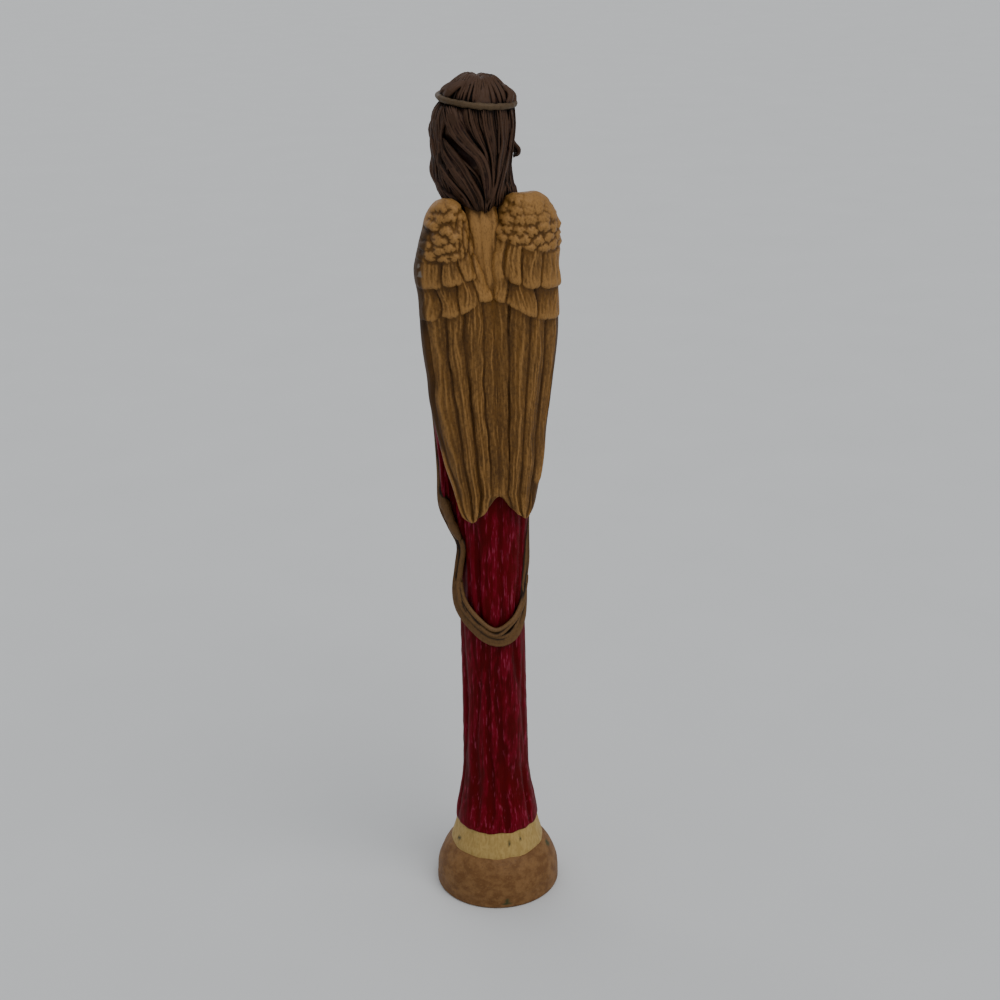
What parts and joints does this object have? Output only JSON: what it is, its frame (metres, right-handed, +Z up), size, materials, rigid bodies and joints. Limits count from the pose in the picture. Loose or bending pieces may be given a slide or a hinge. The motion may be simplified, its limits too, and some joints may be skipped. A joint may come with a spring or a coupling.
{
  "type": "angel figurine",
  "caption": "Slim standing angel figurine with folded wings, long robe, draped stole and praying hands on a round domed base.",
  "frame": {"origin": "centre of the flat underside of the round base, where the figurine stands", "axes": "+Z up along the figure, the figure faces -Y and its own left is +X"},
  "size_m": [0.0507, 0.0468, 0.305],
  "materials": {
    "painted_resin": "satin"
  },
  "bodies": {
    "root": {"angel_figurine": "painted_resin"}
  },
  "joints": []
}
